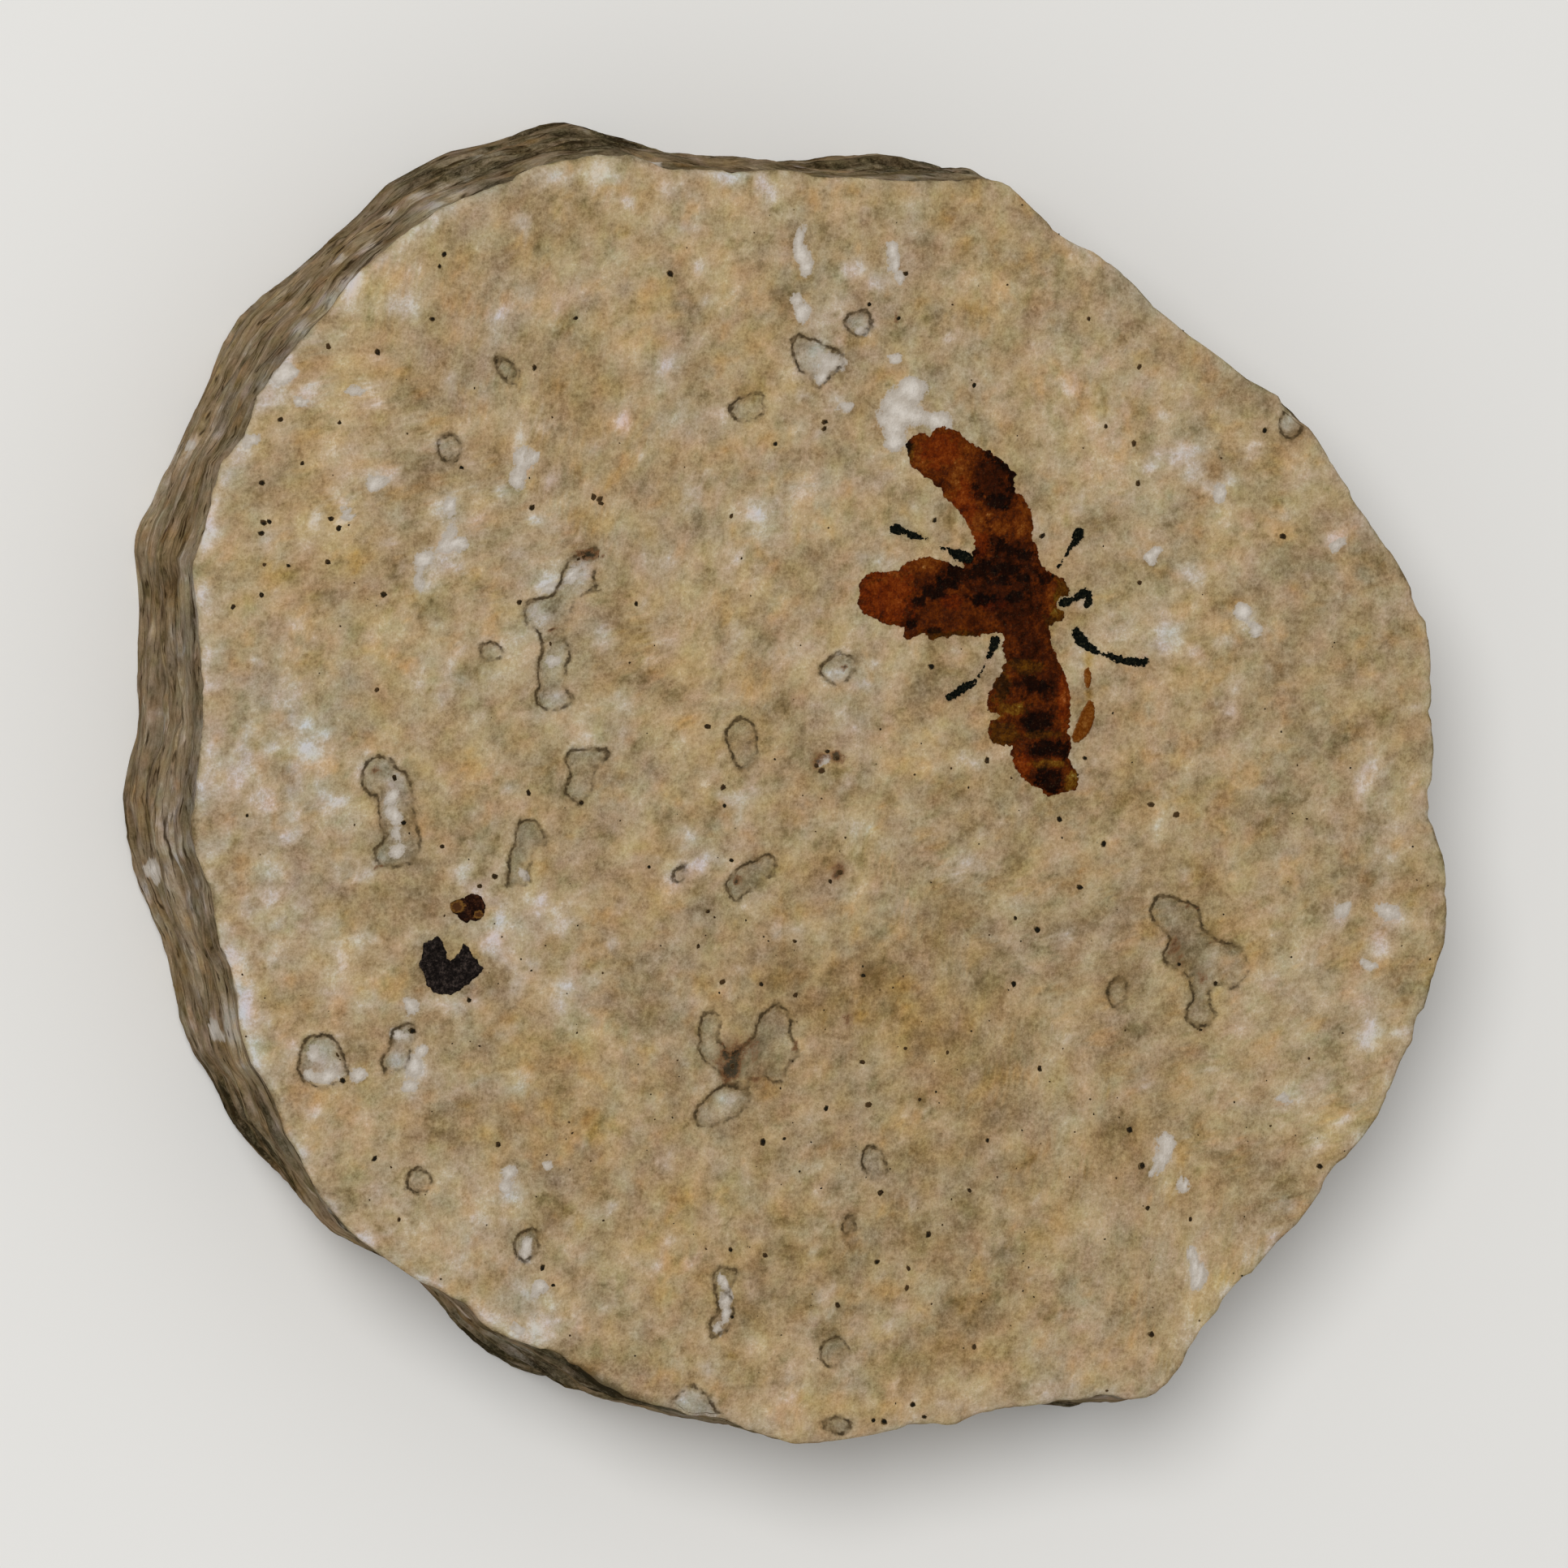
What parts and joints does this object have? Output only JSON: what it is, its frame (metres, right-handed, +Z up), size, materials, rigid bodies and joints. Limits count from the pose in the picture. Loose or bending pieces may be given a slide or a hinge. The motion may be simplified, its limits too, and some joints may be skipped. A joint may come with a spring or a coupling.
{
  "type": "fossil march fly on a shale slab",
  "caption": "Compression fossil of a march fly with spread wings, legs and segmented abdomen on a rounded, hand-trimmed slab of pale laminated shale.",
  "frame": {"origin": "middle of the slab's underside, on the plane it lies on", "axes": "+Z up out of the fossil-bearing face, +X towards the fly's head, +Y towards its upper wing"},
  "size_m": [0.041, 0.041, 0.0083],
  "materials": {
    "shale": "matte",
    "fly_film": "satin",
    "leg_carbon": "satin",
    "amber_cuticle": "satin",
    "dark_carbon": "satin",
    "brown_carbon": "satin"
  },
  "bodies": {
    "root": {"shale_slab": "shale", "march_fly": "fly_film", "leg_upper_left": "leg_carbon", "leg_lower_left": "leg_carbon", "leg_upper_right": "leg_carbon", "leg_middle_right": "leg_carbon", "leg_lower_right": "leg_carbon", "amber_scrap": "amber_cuticle", "amber_fleck": "amber_cuticle", "dark_plant_scrap": "dark_carbon", "brown_plant_scrap": "brown_carbon"}
  },
  "joints": []
}
